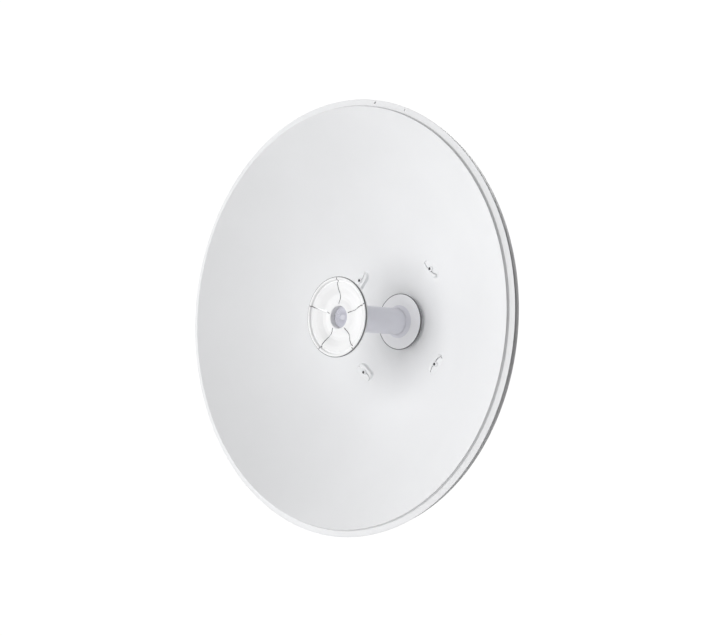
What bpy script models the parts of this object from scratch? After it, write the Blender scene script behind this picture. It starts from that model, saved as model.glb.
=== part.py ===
"""Dish radio bridge for an outdoor pole: a reflector with its feed, a tilting mount and a pole clamp.

Metres, +Z up along the pole, the dish faces -Y. The origin is on the pole's axis, halfway up the clamp.
"""

import math

import bmesh
import bpy
from mathutils import Matrix, Vector

# Driving dimensions
GAP = 0.0003
RIM_Y = -0.3070
DISH_OUTER_R = 0.3250
FLANGE_WIDTH = 0.0085
LIP_SPREAD = 0.0026
LIP_DEPTH = 0.0041
SKIRT_DEPTH = 0.0088
DISH_DEPTH = 0.1520
SHEET = 0.0015
DISH_HOLE_R = 0.0360
SEAT_CIRCLE_R = 0.1030
SEAT_TURN = math.radians(40.2)
SEAT_LENGTH = 0.0320
SEAT_WIDTH = 0.0180
SEAT_FRONT_Y = -0.1740
SEAT_BACK_Y = -0.1660
BASE_Y = -0.1602
BASE_R = 0.0433
TUBE_R = 0.0205
TUBE_WALL = 0.0020
CUP_Y = -0.3107
CUP_R = 0.0602
CUP_WALL = 0.0018
CUP_HOLE_R = 0.0170
PLATE = 0.0025
BRACKET_Y = -0.1400
BRACKET_HALF = 0.0880
BRACKET_HOLE_R = 0.0460
PIVOT = (-0.0850, -0.0400)
LOCK_RADIUS = 0.0800
TILT_LIMIT = math.radians(20)
DISH_CHEEK_X = 0.0640
POLE_CHEEK_X = 0.0605
STEEL = 0.0030
POLE_R = 0.0255
CLAMP_BOLT_X = 0.0460
CLAMP_BOLT_END_Y = 0.0700
M8_R = 0.0040
M8_HOLE_R = 0.0045
M8_HEX_R = 0.0075
M8_HEAD = 0.0053
M8_NUT = 0.0065
WASHER = 0.0016
TUBE_FRONT_Y = -0.2945
TUBE_BACK_Y = -0.1484
PLUG_R = 0.0335
PLUG_BACK_Y = -0.1480
COLLAR_BACK_Y = -0.2880
TIP_BACK_Y = -0.2860
HOUSING_BACK_Y = -0.1000
HOUSING_R = 0.0420
HOUSING_WALL = 0.0026
PORT_R = 0.0125
SCREW_CIRCLE_R = 0.0510
BUTTON_Y = -0.1260
COVER_AXIS = (0.0, -0.0960, 0.0205)
COVER_FRONT_Y = -0.0997
COVER_BACK_Y = -0.0975
PIN_HOLE_R = 0.0015
WEB_BACK_Y = -0.0400
JAW_FRONT_Y = 0.0335
BRACKET_SADDLE_Z = 0.0450
JAW_SADDLE_Z = 0.0180
CLAMP_HEAD_Y = -0.0433
SIDE_BOLT_INNER_X = 0.0520
EARTH_PLACE = (0.0550, -0.0780)
DISH_STEPS = 48
CUP_STEPS = 32
RING_STEPS = 24
SMALL_STEPS = 12

REFLECTOR_R = DISH_OUTER_R - FLANGE_WIDTH - LIP_SPREAD
VERTEX_Y = RIM_Y + DISH_DEPTH

FRONTWARD = (math.pi / 2, 0.0, 0.0)
SIDEWAYS = (math.pi / 2, 0.0, math.pi / 2)
UPRIGHT = (0.0, 0.0, 0.0)


def clear_scene():
    for obj in list(bpy.data.objects):
        bpy.data.objects.remove(obj, do_unlink=True)


def new_collection(name, hidden=False):
    collection = bpy.data.collections.new(name)
    collection.hide_render = hidden
    bpy.context.scene.collection.children.link(collection)
    return collection


clear_scene()
PARTS = new_collection("wireless_bridge")
CUTTERS = new_collection("cutters", hidden=True)


def material(name, colour, roughness, metallic=0.0):
    made = bpy.data.materials.new(name)
    made.use_nodes = True
    shader = made.node_tree.nodes["Principled BSDF"]
    shader.inputs["Base Color"].default_value = (*colour, 1.0)
    shader.inputs["Roughness"].default_value = roughness
    shader.inputs["Metallic"].default_value = metallic
    return made


WHITE_PAINT = ("white_paint", (0.84, 0.84, 0.85), 0.45, 0.0)
WHITE_PLASTIC = ("white_plastic", (0.86, 0.86, 0.88), 0.40, 0.0)
GREY_PLASTIC = ("grey_plastic", (0.35, 0.36, 0.38), 0.55, 0.0)
ZINC = ("zinc_steel", (0.62, 0.63, 0.65), 0.40, 0.9)
ALUMINIUM = ("aluminium", (0.75, 0.76, 0.78), 0.35, 1.0)
RUBBER = ("seal_rubber", (0.05, 0.05, 0.05), 0.80, 0.0)
BOARD_GREEN = ("board_laminate", (0.03, 0.22, 0.10), 0.50, 0.0)
LEVEL_GREEN = ("level_vial", (0.45, 0.80, 0.15), 0.10, 0.0)


def named_object(name, mesh, finish=None, collection=None):
    """A new object in the parts' collection, with a material of its own."""
    obj = bpy.data.objects.new(name, mesh)
    (collection or PARTS).objects.link(obj)
    if finish:
        label, colour, roughness, metallic = finish
        mesh.materials.clear()
        mesh.materials.append(material(f"{name}_{label}", colour, roughness, metallic))
    return obj


def as_cutter(obj):
    obj.hide_render = True
    obj.display_type = "WIRE"
    return obj


def smooth(mesh, angle=35):
    mesh.shade_smooth()
    mesh.set_sharp_from_angle(angle=math.radians(angle))


def turned(name, profile, finish, y0=0.0, steps=RING_STEPS, closed=True, collection=None):
    """A ring or disc about the Y axis from (radius, y) points, front side first down the outside."""
    mesh = bpy.data.meshes.new(name)
    points = [(radius, 0.0, y0 - y) for radius, y in profile]
    edges = [(i, i + 1) for i in range(len(points) - 1)]
    if closed:
        edges.append((len(points) - 1, 0))
    mesh.from_pydata(points, edges, [])
    obj = named_object(name, mesh, finish, collection)
    obj.location = (0.0, y0, 0.0)
    obj.rotation_euler = FRONTWARD
    screw = obj.modifiers.new("turn", "SCREW")
    screw.axis = "Z"
    screw.steps = steps
    screw.render_steps = steps
    screw.use_merge_vertices = True
    screw.merge_threshold = 0.00001
    screw.use_smooth_shade = True
    return obj


def circle(radius, centre=(0.0, 0.0), count=32):
    return [
        (
            centre[0] + radius * math.cos(2 * math.pi * i / count),
            centre[1] + radius * math.sin(2 * math.pi * i / count),
        )
        for i in range(count)
    ]


def rectangle(half_width, half_height, centre=(0.0, 0.0), corner=0.0, steps=4):
    """A rectangle with rounded corners, counter-clockwise."""
    if corner == 0.0:
        signs = ((1, 1), (-1, 1), (-1, -1), (1, -1))
        return [(centre[0] + a * half_width, centre[1] + b * half_height) for a, b in signs]
    points = []
    for quarter, (a, b) in enumerate(((1, 1), (-1, 1), (-1, -1), (1, -1))):
        middle = (centre[0] + a * (half_width - corner), centre[1] + b * (half_height - corner))
        for i in range(steps + 1):
            angle = math.pi / 2 * (quarter + i / steps)
            points.append((middle[0] + corner * math.cos(angle), middle[1] + corner * math.sin(angle)))
    return points


def arc_slot(pivot, radius, half_width, half_sweep, steps=10):
    """A slot along an arc over a pivot, centred straight above it, as (y, z) points."""
    points = []
    for i in range(steps + 1):
        angle = -half_sweep + 2 * half_sweep * i / steps
        reach = radius + half_width
        points.append((pivot[0] + reach * math.sin(angle), pivot[1] + reach * math.cos(angle)))
    points += slot_end(pivot, radius, half_width, half_sweep)
    for i in range(steps + 1):
        angle = half_sweep - 2 * half_sweep * i / steps
        reach = radius - half_width
        points.append((pivot[0] + reach * math.sin(angle), pivot[1] + reach * math.cos(angle)))
    far_end = slot_end(pivot, radius, half_width, half_sweep)
    points += [(2 * pivot[0] - y, z) for y, z in reversed(far_end)]
    return points


def slot_end(pivot, radius, half_width, sweep, steps=6):
    centre = (pivot[0] + radius * math.sin(sweep), pivot[1] + radius * math.cos(sweep))
    turn = math.pi / 2 - sweep
    return [
        (
            centre[0] + half_width * math.cos(turn - math.pi * i / steps),
            centre[1] + half_width * math.sin(turn - math.pi * i / steps),
        )
        for i in range(1, steps)
    ]


def flat(name, loops, thickness, finish, location, rotation, collection=None):
    """A plate of the given thickness from an outline and its holes, made a mesh."""
    outline = bpy.data.curves.new(name, "CURVE")
    outline.dimensions = "2D"
    outline.fill_mode = "BOTH"
    outline.extrude = thickness / 2
    for loop in loops:
        spline = outline.splines.new("POLY")
        spline.points.add(len(loop) - 1)
        for point, (x, y) in zip(spline.points, loop):
            point.co = (x, y, 0.0, 1.0)
        spline.use_cyclic_u = True
    source = bpy.data.objects.new(name + "_outline", outline)
    bpy.context.scene.collection.objects.link(source)
    graph = bpy.context.evaluated_depsgraph_get()
    mesh = bpy.data.meshes.new_from_object(source.evaluated_get(graph))
    bpy.data.objects.remove(source, do_unlink=True)
    weld_mesh(mesh)
    smooth(mesh)
    obj = named_object(name, mesh, finish, collection)
    obj.location = location
    obj.rotation_euler = rotation
    return obj


def weld_mesh(mesh):
    shape = bmesh.new()
    shape.from_mesh(mesh)
    bmesh.ops.remove_doubles(shape, verts=shape.verts, dist=0.00001)
    bmesh.ops.recalc_face_normals(shape, faces=shape.faces)
    shape.to_mesh(mesh)
    shape.free()


def rod(name, radius, length, finish, location, rotation, sides=16, collection=None):
    """A cylinder, or a hexagon bar with 6 sides, centred on its location along its own Z."""
    mesh = bpy.data.meshes.new(name)
    shape = bmesh.new()
    bmesh.ops.create_cone(
        shape, cap_ends=True, segments=sides, radius1=radius, radius2=radius, depth=length
    )
    shape.to_mesh(mesh)
    shape.free()
    smooth(mesh)
    obj = named_object(name, mesh, finish, collection)
    obj.location = location
    obj.rotation_euler = rotation
    return obj


def block(name, low, high, finish, bevel=0.0, collection=None):
    """A box between two corners, with its origin in its middle."""
    mesh = bpy.data.meshes.new(name)
    shape = bmesh.new()
    bmesh.ops.create_cube(shape, size=1.0)
    size = [b - a for a, b in zip(low, high)]
    bmesh.ops.scale(shape, vec=size, verts=shape.verts)
    shape.to_mesh(mesh)
    shape.free()
    obj = named_object(name, mesh, finish, collection)
    obj.location = [(a + b) / 2 for a, b in zip(low, high)]
    if bevel:
        edge = obj.modifiers.new("edges", "BEVEL")
        edge.width = bevel
        edge.segments = 2
    return obj


def boolean(obj, other, operation):
    as_cutter(other)
    change = obj.modifiers.new(f"{operation.lower()}_{other.name}", "BOOLEAN")
    change.operation = operation
    change.solver = "EXACT"
    change.object = other


def cut(obj, other):
    boolean(obj, other, "DIFFERENCE")


def join(obj, other):
    boolean(obj, other, "UNION")


def body(name, location):
    """An empty on a joint's axis, which carries the pieces that move together."""
    empty = bpy.data.objects.new(name, None)
    empty.location = location
    PARTS.objects.link(empty)
    return empty


def carry(empty, pieces):
    for piece in pieces:
        piece.parent = empty
        piece.matrix_parent_inverse = Matrix.Translation(-empty.location)


# Reflector


def dish_y(radius):
    return VERTEX_Y - DISH_DEPTH * (radius / REFLECTOR_R) ** 2


def make_dish():
    steps = 8
    radii = [DISH_HOLE_R + (REFLECTOR_R - DISH_HOLE_R) * i / steps for i in range(steps + 1)]
    profile = [(radius, dish_y(radius)) for radius in radii]
    flange_y = RIM_Y + LIP_DEPTH
    profile.append((REFLECTOR_R + LIP_SPREAD, flange_y))
    profile.append((DISH_OUTER_R, flange_y))
    profile.append((DISH_OUTER_R, flange_y + SKIRT_DEPTH))
    dish = turned("dish_reflector", profile, WHITE_PAINT, VERTEX_Y, steps=DISH_STEPS, closed=False)
    shell = dish.modifiers.new("sheet", "SOLIDIFY")
    shell.thickness = SHEET
    shell.offset = -1.0
    shell.use_even_offset = True
    for number, (x, z) in enumerate(seat_places(), 1):
        join(dish, seat_pad(number, x, z))
    for number, (x, z) in enumerate(seat_places(), 1):
        hole = rod(
            f"seat_hole_{number}", 0.0033, 0.030, None, (x, SEAT_FRONT_Y, z), FRONTWARD, 12, CUTTERS
        )
        cut(dish, hole)
    return dish


def seat_places():
    """Four bolts on a circle, a little short of the diagonals, clockwise from the upper right."""
    turns = [SEAT_TURN + math.pi / 2 * quarter for quarter in range(4)]
    return [(SEAT_CIRCLE_R * math.sin(turn), SEAT_CIRCLE_R * math.cos(turn)) for turn in turns]


def seat_pad(number, x, z):
    """The flat land under a dish bolt, long side square to the radius."""
    outline = rectangle(SEAT_LENGTH / 2, SEAT_WIDTH / 2, corner=0.006, steps=3)
    across = math.atan2(z, x) + math.pi / 2
    turned_outline = [
        (
            a * math.cos(across) - b * math.sin(across),
            a * math.sin(across) + b * math.cos(across),
        )
        for a, b in outline
    ]
    middle_y = (SEAT_FRONT_Y + SEAT_BACK_Y) / 2
    thickness = SEAT_BACK_Y - SEAT_FRONT_Y
    return flat(
        f"seat_{number}", [turned_outline], thickness, None, (x, middle_y, z), FRONTWARD, CUTTERS
    )


def make_dish_bolts():
    pieces = []
    for number, (x, z) in enumerate(seat_places(), 1):
        head_y = SEAT_FRONT_Y - GAP
        bolt = turned(
            f"dish_bolt_{number}",
            [
                (0.0, head_y - 0.0022),
                (0.0034, head_y - 0.0020),
                (0.0044, head_y - 0.0010),
                (0.0044, head_y),
                (0.0030, head_y),
                (0.0030, -0.1280),
                (0.0, -0.1280),
            ],
            ZINC,
            head_y,
            steps=SMALL_STEPS,
            closed=False,
        )
        bolt.location.x = x
        bolt.location.z = z
        nut_front = BRACKET_Y + PLATE + GAP
        place = (x, nut_front + 0.0030, z)
        nut = hex_nut(f"dish_nut_{number}", 0.0033, 0.0060, 0.0060, place, FRONTWARD)
        pieces += [bolt, nut]
    return pieces


def hex_nut(name, bore_r, hex_r, height, location, rotation):
    return flat(
        name, [circle(hex_r, count=6), circle(bore_r, count=16)], height, ZINC, location, rotation
    )


# Dish side of the mount


def make_dish_bracket():
    centre_y = BRACKET_Y + PLATE / 2
    outline = rectangle(BRACKET_HALF, BRACKET_HALF, corner=0.014)
    holes = [circle(BRACKET_HOLE_R)]
    holes += [circle(0.0034, (x, z), 12) for x, z in seat_places()]
    holes += [circle(0.0022, (x, z), 12) for x, z in housing_screw_places()]
    holes.append(circle(0.0028, EARTH_PLACE, 12))
    bracket = flat("dish_bracket", [outline] + holes, PLATE, ZINC, (0, centre_y, 0), FRONTWARD)
    boss_front = SEAT_BACK_Y + GAP
    for number, (x, z) in enumerate(seat_places(), 1):
        length = BRACKET_Y - boss_front + 0.0010
        boss = flat(
            f"boss_{number}",
            [circle(0.0090, count=16), circle(0.0034, count=12)],
            length,
            None,
            (x, boss_front + length / 2, z),
            FRONTWARD,
            CUTTERS,
        )
        join(bracket, boss)
    for side in (-1, 1):
        join(bracket, dish_cheek(side))
    return bracket


def dish_cheek(side):
    front = BRACKET_Y + 0.0010
    outline = [
        (front, -0.0620),
        (-0.0850, -0.0590),
        (-0.0690, -0.0500),
        (-0.0600, -0.0250),
        (-0.0400, 0.0300),
        (-0.0420, 0.0440),
        (-0.0600, 0.0530),
        (-0.0850, 0.0570),
        (front, 0.0620),
    ]
    slot = arc_slot(PIVOT, LOCK_RADIUS, M8_HOLE_R, TILT_LIMIT)
    loops = [outline, slot, circle(M8_HOLE_R, PIVOT, 16)]
    place = (side * (DISH_CHEEK_X + PLATE / 2), 0.0, 0.0)
    return flat(f"dish_cheek_{side}", loops, PLATE, None, place, SIDEWAYS, CUTTERS)


def make_level():
    """A spirit level on the bracket's upper edge: its body and the vial in it."""
    front = BRACKET_Y + PLATE + GAP
    case = block("level_body", (-0.016, front, 0.0700), (0.016, front + 0.012, 0.0840), GREY_PLASTIC)
    middle = (0.0, front + 0.006, 0.0800)
    groove = block(
        "level_groove",
        (-0.0125, middle[1] - 0.0045, 0.0755),
        (0.0125, middle[1] + 0.0045, 0.0900),
        None,
        collection=CUTTERS,
    )
    cut(case, groove)
    vial = rod("level_vial", 0.0040, 0.0240, LEVEL_GREEN, middle, (0, math.pi / 2, 0), 20)
    return [case, vial]


def make_earth_screw():
    head_y = BRACKET_Y + PLATE + GAP
    x, z = EARTH_PLACE
    screw = rod("earth_screw", 0.0045, 0.0035, ZINC, (x, head_y + 0.00175, z), FRONTWARD, 6)
    shank = rod("earth_shank", 0.0024, 0.0120, None, (x, head_y - 0.0055, z), FRONTWARD, 16, CUTTERS)
    join(screw, shank)
    return screw


# Rear housing


def housing_screw_places():
    angles = [math.radians(a) for a in (45, 135, 225, 315)]
    return [(SCREW_CIRCLE_R * math.cos(a), SCREW_CIRCLE_R * math.sin(a)) for a in angles]


def make_housing():
    """The rear housing: a cup behind the dish with a mouth for the feed and a port in its back."""
    profile = [
        (0.0340, -0.1535),
        (0.0480, -0.1535),
        (0.0480, -0.1515),
        (0.0430, -0.1500),
        (0.0430, -0.1450),
        (0.0560, -0.1445),
        (0.0560, BRACKET_Y - GAP),
        (0.0430, BRACKET_Y - GAP),
        (HOUSING_R + 0.0005, -0.1385),
        (HOUSING_R, -0.1060),
        (0.0370, HOUSING_BACK_Y),
        (PORT_R, HOUSING_BACK_Y),
        (PORT_R, HOUSING_BACK_Y - HOUSING_WALL),
        (0.0360, HOUSING_BACK_Y - HOUSING_WALL),
        (HOUSING_R - HOUSING_WALL, -0.1070),
        (HOUSING_R - HOUSING_WALL, -0.1450),
        (0.0340, -0.1470),
    ]
    housing = turned("rear_housing", profile, WHITE_PLASTIC, HOUSING_BACK_Y)
    for side in (-1, 1):
        ear = block(
            f"cover_ear_{side}",
            (min(side * 0.0110, side * 0.0150), -0.1015, 0.0170),
            (max(side * 0.0110, side * 0.0150), -0.0930, 0.0240),
            None,
            collection=CUTTERS,
        )
        join(housing, ear)
    turn = (0, math.pi / 2, 0)
    pin_hole = rod("pin_hole", PIN_HOLE_R, 0.0400, None, COVER_AXIS, turn, 12, CUTTERS)
    cut(housing, pin_hole)
    button_hole = rod("button_hole", 0.0064, 0.0200, None, (0, BUTTON_Y, -0.0420), UPRIGHT, 24, CUTTERS)
    cut(housing, button_hole)
    for number, (x, z) in enumerate(housing_screw_places(), 1):
        hole = rod(
            f"screw_hole_{number}", 0.0022, 0.0080, None, (x, -0.1391, z), FRONTWARD, 12, CUTTERS
        )
        cut(housing, hole)
    return housing


def make_housing_screws():
    screws = []
    head_y = BRACKET_Y + PLATE + GAP
    for number, (x, z) in enumerate(housing_screw_places(), 1):
        screw = turned(
            f"housing_screw_{number}",
            [
                (0.0, -0.1425),
                (0.0018, -0.1425),
                (0.0018, head_y),
                (0.0036, head_y),
                (0.0036, head_y + 0.0012),
                (0.0026, head_y + 0.0022),
                (0.0, head_y + 0.0024),
            ],
            ZINC,
            head_y,
            steps=SMALL_STEPS,
            closed=False,
        )
        screw.location.x = x
        screw.location.z = z
        screws.append(screw)
    return screws


def make_housing_seal():
    profile = [(0.0410, -0.1556), (0.0455, -0.1556), (0.0455, -0.1538), (0.0410, -0.1538)]
    return turned("housing_seal", profile, RUBBER, -0.1538)


def make_cover():
    """The port cover, hung from a barrel on the hinge pin."""
    low, high = (-0.0170, COVER_FRONT_Y, -0.0165), (0.0170, COVER_BACK_Y, 0.0160)
    cover = block("port_cover", low, high, WHITE_PLASTIC, bevel=0.0006)
    neck_high = (0.0095, COVER_BACK_Y, COVER_AXIS[2])
    neck = block("cover_neck", (-0.0095, COVER_FRONT_Y, 0.0140), neck_high, None, collection=CUTTERS)
    turn = (0, math.pi / 2, 0)
    barrel = rod("cover_barrel", 0.0030, 0.0210, None, COVER_AXIS, turn, 12, CUTTERS)
    bore = rod("cover_bore", PIN_HOLE_R, 0.0300, None, COVER_AXIS, turn, 12, CUTTERS)
    join(cover, neck)
    join(cover, barrel)
    cut(cover, bore)
    pin = rod("cover_pin", PIN_HOLE_R - GAP, 0.0310, ZINC, COVER_AXIS, turn, 16)
    return cover, pin


def make_button():
    """The release button under the housing, its return spring and the guide that the spring bears on."""
    button = turned(
        "release_button",
        [(0.0, -0.0458), (0.0050, -0.0458), (0.0060, -0.0450), (0.0060, -0.0378)]
        + [(0.0072, -0.0378), (0.0072, -0.0362), (0.0, -0.0362)],
        GREY_PLASTIC,
        steps=20,
        closed=False,
    )
    button.rotation_euler = (math.pi, 0.0, 0.0)
    button.location = (0.0, BUTTON_Y, 0.0)
    guide = block(
        "latch_guide", (-0.0260, BUTTON_Y - 0.008, -0.0290), (0.0260, BUTTON_Y + 0.008, -0.0272), ZINC
    )
    spring = coil("button_spring", 0.0040, 0.0005, -0.0354, -0.0298, 4)
    spring.location = (0.0, BUTTON_Y, 0.0)
    return button, guide, spring


def coil(name, radius, wire_r, low, high, turns):
    """A compression spring along Z."""
    per_turn = 10
    count = turns * per_turn
    curve = bpy.data.curves.new(name, "CURVE")
    curve.dimensions = "3D"
    curve.bevel_depth = wire_r
    curve.bevel_resolution = 0
    curve.use_fill_caps = True
    spline = curve.splines.new("POLY")
    spline.points.add(count)
    for i, point in enumerate(spline.points):
        angle = 2 * math.pi * i / per_turn
        height = low + (high - low) * i / count
        point.co = (radius * math.cos(angle), radius * math.sin(angle), height, 1.0)
    obj = bpy.data.objects.new(name, curve)
    PARTS.objects.link(obj)
    curve.materials.append(material(name + "_steel", (0.6, 0.6, 0.62), 0.3, 1.0))
    return obj


# Feed


def bowl_points():
    """The cup's front surface from the lip to the central hole: a bead, a trough and a raised hub."""
    depths = [
        (CUP_R, 0.0),
        (0.0556, 0.0),
        (0.0540, 0.0038),
        (0.0510, 0.0022),
        (0.0450, 0.0030),
        (0.0380, 0.0060),
        (0.0300, 0.0085),
        (0.0260, 0.0080),
        (0.0200, 0.0062),
        (CUP_HOLE_R, 0.0055),
    ]
    return [(radius, CUP_Y + depth) for radius, depth in depths]


def make_cup():
    front = bowl_points()
    sleeve_r = CUP_HOLE_R + CUP_WALL
    sleeve_back = TUBE_FRONT_Y - 0.0005
    back = [(radius, y + CUP_WALL) for radius, y in front if sleeve_r < radius < 0.0540]
    edge = [(CUP_R, CUP_Y + 0.0020), (0.0580, CUP_Y + 0.0040), (0.0525, CUP_Y + 0.0050)]
    profile = [front[0]] + edge + back + [(sleeve_r, CUP_Y + 0.0080), (sleeve_r, sleeve_back)]
    profile += [(CUP_HOLE_R, sleeve_back)] + list(reversed(front[1:]))
    return turned("subreflector_cup", profile, WHITE_PLASTIC, CUP_Y, steps=CUP_STEPS)


def behind_cup(radius, offset):
    """A point that far behind the cup's front surface, between the trough and the bead."""
    inner = [point for point in bowl_points() if 0.0195 < point[0] < 0.0520]
    inner.sort()
    for (r0, y0), (r1, y1) in zip(inner, inner[1:]):
        if r0 <= radius <= r1:
            return (radius, y0 + (y1 - y0) * (radius - r0) / (r1 - r0) + offset)
    return (radius, inner[0][1] + offset)


def make_subreflector():
    radii = (0.0500, 0.0450, 0.0380, 0.0300, 0.0260, 0.0210)
    front = [behind_cup(radius, CUP_WALL + GAP) for radius in reversed(radii)]
    back = [behind_cup(radius, CUP_WALL + GAP + 0.0009) for radius in radii]
    return turned("subreflector_disc", front + back, ALUMINIUM, CUP_Y)


def make_cone():
    """The cone behind the sub-reflector, with a collar on the tube."""
    radii = (0.0500, 0.0450, 0.0380, 0.0300)
    start = CUP_WALL + 2 * GAP + 0.0009
    collar_r = TUBE_R + GAP
    front = [(collar_r, -0.2985), (0.0260, -0.2990)]
    front += [behind_cup(radius, start) for radius in reversed(radii)]
    front += [(0.0545, CUP_Y + 0.0064)]
    back = [(0.0545, CUP_Y + 0.0074)]
    back += [behind_cup(radius, start + 0.0018) for radius in radii]
    back += [(0.0245, -0.2960), (0.0232, COLLAR_BACK_Y), (collar_r, COLLAR_BACK_Y)]
    return turned("feed_cone", front + back, WHITE_PLASTIC, COLLAR_BACK_Y)


def make_tube():
    inner_r = TUBE_R - TUBE_WALL
    profile = [(inner_r, TUBE_FRONT_Y), (TUBE_R, TUBE_FRONT_Y)]
    profile += [(TUBE_R, TUBE_BACK_Y), (inner_r, TUBE_BACK_Y)]
    return turned("feed_tube", profile, WHITE_PLASTIC, TUBE_BACK_Y)


def make_feed_base():
    """The round base on the reflector, flared up to the tube, with a plug that enters the housing."""
    bore_r = TUBE_R + GAP
    flare_r, flare_rise = 0.0080, 0.0075
    flare = []
    for i in range(6):
        angle = math.pi / 2 * i / 5
        radius = bore_r + 0.0007 + flare_r * (1 - math.cos(angle))
        flare.append((radius, BASE_Y - 0.0004 - flare_rise * (1 - math.sin(angle))))
    profile = [(bore_r, flare[0][1])] + flare
    profile += [(BASE_R - 0.0005, BASE_Y), (BASE_R, BASE_Y + 0.0005), (BASE_R, BASE_Y + 0.0019)]
    groove_r = PLUG_R - 0.0021
    profile += [(PLUG_R, BASE_Y + 0.0019), (PLUG_R, -0.1536), (groove_r, -0.1536)]
    profile += [(groove_r, -0.1508), (PLUG_R, -0.1508), (PLUG_R, PLUG_BACK_Y), (bore_r, PLUG_BACK_Y)]
    return turned("feed_base", profile, WHITE_PLASTIC, BASE_Y, steps=CUP_STEPS)


def make_feed_seal():
    section = circle(0.0009, (0.0327, -0.1522), 6)
    return turned("feed_seal", section, RUBBER, -0.1522)


def make_feed_inside():
    """Board, shield, heat spreader, network jack, horn and tip, all inside the tube."""
    cap = turned(
        "feed_end_cap",
        [(0.0, PLUG_BACK_Y), (0.0203, PLUG_BACK_Y), (0.0203, -0.1455), (0.0, -0.1455)],
        GREY_PLASTIC,
        -0.1455,
        closed=False,
    )
    window = block(
        "cap_window", (-0.0172, -0.1500, -0.0098), (0.0172, -0.1440, -0.0000), None, collection=CUTTERS
    )
    tray = block(
        "cap_tray", (-0.0140, -0.1470, -0.0130), (0.0140, -0.1065, -0.0105), None, collection=CUTTERS
    )
    cut(cap, window)
    join(cap, tray)
    board = block("radio_board", (-0.0162, -0.2270, -0.0082), (0.0162, -0.1065, -0.0066), BOARD_GREEN)
    shield_high = (0.0120, -0.1700, -0.0013)
    shield = block("shield_can", (-0.0120, -0.2200, -0.0063), shield_high, ALUMINIUM, 0.0005)
    spreader_high = (0.0110, -0.1600, -0.0085)
    spreader = block("heat_spreader", (-0.0110, -0.2200, -0.0120), spreader_high, ALUMINIUM)
    jack = block("network_jack", (-0.0080, -0.1270, -0.0063), (0.0080, -0.1060, 0.0072), GREY_PLASTIC)
    socket = block(
        "jack_socket", (-0.0060, -0.1215, -0.0040), (0.0060, -0.1000, 0.0045), None, collection=CUTTERS
    )
    cut(jack, socket)
    horn = turned(
        "feed_horn",
        [(0.0, -0.2320), (0.0120, -0.2320), (0.0120, -0.2855), (0.0135, -0.2855)]
        + [(0.0135, -0.2300), (0.0, -0.2300)],
        ALUMINIUM,
        -0.2300,
        closed=False,
    )
    tip = turned(
        "feed_tip",
        [(0.0, -0.2975), (0.0040, -0.2972), (0.0166, -0.2962), (0.0166, -0.2947), (0.0182, -0.2943)]
        + [(0.0182, TIP_BACK_Y), (0.0, TIP_BACK_Y)],
        WHITE_PLASTIC,
        TIP_BACK_Y,
        closed=False,
    )
    return [cap, board, shield, spreader, jack, horn, tip]


# Pole side of the mount


def make_pole_bracket():
    web_holes = [rectangle(0.0280, 0.0280, corner=0.004, steps=3)]
    web_holes += [circle(M8_HOLE_R, (side * CLAMP_BOLT_X, 0.0), 16) for side in (-1, 1)]
    outline = rectangle(POLE_CHEEK_X + 0.0015, 0.0550)
    web_y = WEB_BACK_Y - STEEL / 2
    bracket = flat("pole_bracket", [outline] + web_holes, STEEL, ZINC, (0, web_y, 0), FRONTWARD)
    for side in (-1, 1):
        join(bracket, pole_cheek(side))
    for level in (-1, 1):
        apex = -POLE_R * 2 / math.sqrt(3)
        root = WEB_BACK_Y - 0.0010
        join(bracket, saddle_plate(f"saddle_{level}", apex, root, BRACKET_SADDLE_Z * level))
    return bracket


def pole_cheek(side):
    outline = [
        (WEB_BACK_Y, -0.0550),
        (-0.0850, -0.0570),
        (-0.1000, -0.0500),
        (-0.1030, -0.0300),
        (-0.0985, 0.0450),
        (-0.0850, 0.0550),
        (WEB_BACK_Y, 0.0550),
    ]
    lock = (PIVOT[0], PIVOT[1] + LOCK_RADIUS)
    loops = [outline, circle(M8_HOLE_R, PIVOT, 16), circle(M8_HOLE_R, lock, 16)]
    place = (side * (POLE_CHEEK_X + STEEL / 2), 0.0, 0.0)
    return flat(f"pole_cheek_{side}", loops, STEEL, None, place, SIDEWAYS, CUTTERS)


def saddle_plate(name, apex, root, height):
    """A level plate with a notch of 120 degrees that the pole sits in, opening away from its root."""
    half = 0.0400
    way = 1 if apex > root else -1
    lip = apex + way * half / math.sqrt(3)
    outline = [(-half, root), (half, root), (half, lip), (0.0, apex), (-half, lip)]
    return flat(name, [outline], STEEL, None, (0, 0, height), UPRIGHT, CUTTERS)


def side_bolt(name, side, height):
    """A bolt along X through a pair of cheeks, head outside."""
    head_x = DISH_CHEEK_X + PLATE + GAP
    turn = (0, math.pi / 2, 0)
    head_place = (side * (head_x + M8_HEAD / 2), PIVOT[0], height)
    bolt = rod(name, M8_HEX_R, M8_HEAD, ZINC, head_place, turn, 6)
    length = head_x + 0.0010 - SIDE_BOLT_INNER_X
    shank_place = (side * (SIDE_BOLT_INNER_X + length / 2), PIVOT[0], height)
    join(bolt, rod(name + "_shank", M8_R, length, None, shank_place, turn, 16, CUTTERS))
    return bolt


def make_side_fasteners():
    pieces = []
    heights = {"pivot": PIVOT[1], "lock": PIVOT[1] + LOCK_RADIUS}
    for kind, height in heights.items():
        for word, side in (("left", -1), ("right", 1)):
            pieces.append(side_bolt(f"{kind}_bolt_{word}", side, height))
            place = (side * (POLE_CHEEK_X - GAP - M8_NUT / 2), PIVOT[0], height)
            turn = (0, math.pi / 2, 0)
            pieces.append(hex_nut(f"{kind}_nut_{word}", M8_R + GAP, M8_HEX_R, M8_NUT, place, turn))
    return pieces


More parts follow.
